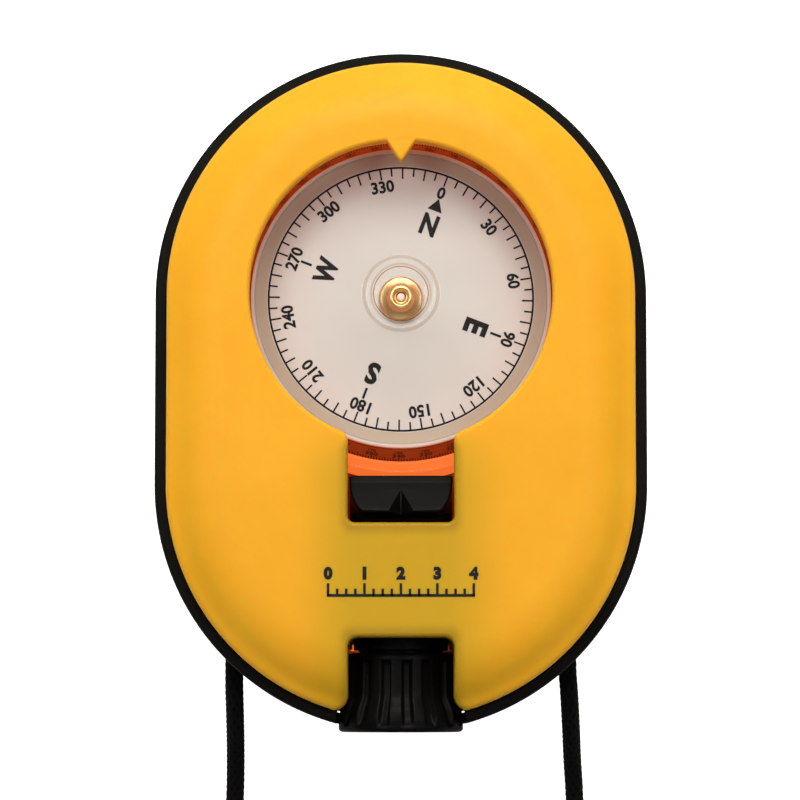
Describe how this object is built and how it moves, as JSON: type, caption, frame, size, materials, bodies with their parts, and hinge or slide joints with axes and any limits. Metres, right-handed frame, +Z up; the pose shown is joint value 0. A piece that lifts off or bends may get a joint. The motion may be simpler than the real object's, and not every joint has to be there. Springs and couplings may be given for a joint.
{
  "type": "hand sighting compass",
  "caption": "Oval floating sighting compass with a liquid capsule, a turning degree card, a focusing eyepiece, a rubber band and a neck cord.",
  "frame": {"origin": "centre of the body's underside, on the surface that it lies on, at the middle of its length and width", "axes": "+X to the user's right, +Y forward along the sight line away from the eyepiece, +Z up out of the dial"},
  "size_m": [0.055, 0.1195, 0.02],
  "materials": {
    "yellow_plastic": "satin moulded yellow plastic",
    "black_rubber": "satin black rubber",
    "black_plastic": "fine satin black plastic",
    "orange_acrylic": "clear fluorescent orange acrylic",
    "clear_acrylic": "clear polished acrylic",
    "dial_white": "matt off-white with black print",
    "scale_brown": "matt print seen through orange",
    "brass": "turned and polished brass",
    "steel": "bright turned steel",
    "magnet_nickel": "nickel plated magnet",
    "sapphire": "polished jewel",
    "lens_glass": "polished glass",
    "grey_foam": "closed cell foam",
    "cord_black": "braided black cord"
  },
  "bodies": {
    "housing": {"front_cover": "yellow_plastic", "back_cover": "yellow_plastic", "bumper_band": "black_rubber", "capsule_cup": "orange_acrylic", "capsule_lid": "clear_acrylic", "capsule_pad": "grey_foam", "filler_plug": "black_rubber", "pivot_post": "orange_acrylic", "pivot_needle": "steel", "sight_block": "black_plastic", "index_reticle": "lens_glass", "eyepiece_cradle": "orange_acrylic", "eyepiece_sleeve": "black_plastic", "eyepiece_o_ring": "black_rubber", "cord_ferrule_left": "steel", "cord_ferrule_right": "steel", "cord_left": "cord_black", "cord_right": "cord_black", "cord_coil": "cord_black", "cord_tie": "black_rubber"},
    "card": {"dial_card": "dial_white", "scale_skirt": "scale_brown", "hub_cap": "brass", "pivot_jewel": "sapphire", "magnet_hanger": "brass", "tilt_pin_left": "steel", "tilt_pin_right": "steel"},
    "magnet": {"magnet_frame": "brass", "magnet_north": "magnet_nickel", "magnet_south": "magnet_nickel"},
    "focus_ring": {"focus_ring": "black_plastic"},
    "lens_carriage": {"lens_cell": "black_plastic", "eye_lens": "lens_glass", "lens_keeper": "black_plastic"}
  },
  "joints": [
    {"name": "card_spin", "type": "hinge", "parent": "housing", "child": "card", "pos_m": [0, 0.01055, 0.012], "axis": [0, 0, 1], "continuous": true},
    {"name": "magnet_tilt", "type": "hinge", "parent": "card", "child": "magnet", "pos_m": [0, 0.01055, 0.0078], "axis": [1, 0, 0], "range_deg": [-12, 12]},
    {"name": "focus_turn", "type": "hinge", "parent": "housing", "child": "focus_ring", "pos_m": [0, -0.0338, 0.01], "axis": [0, -1, 0], "range_deg": [-150, 150]},
    {"name": "lens_slide", "type": "slide", "parent": "housing", "child": "lens_carriage", "axis": [0, -1, 0], "range_m": [-0.00083, 0.00083]}
  ],
  "couplings": [
    {"joint": "focus_turn", "follows": "lens_slide", "rad_per_m": 3141.6}
  ]
}
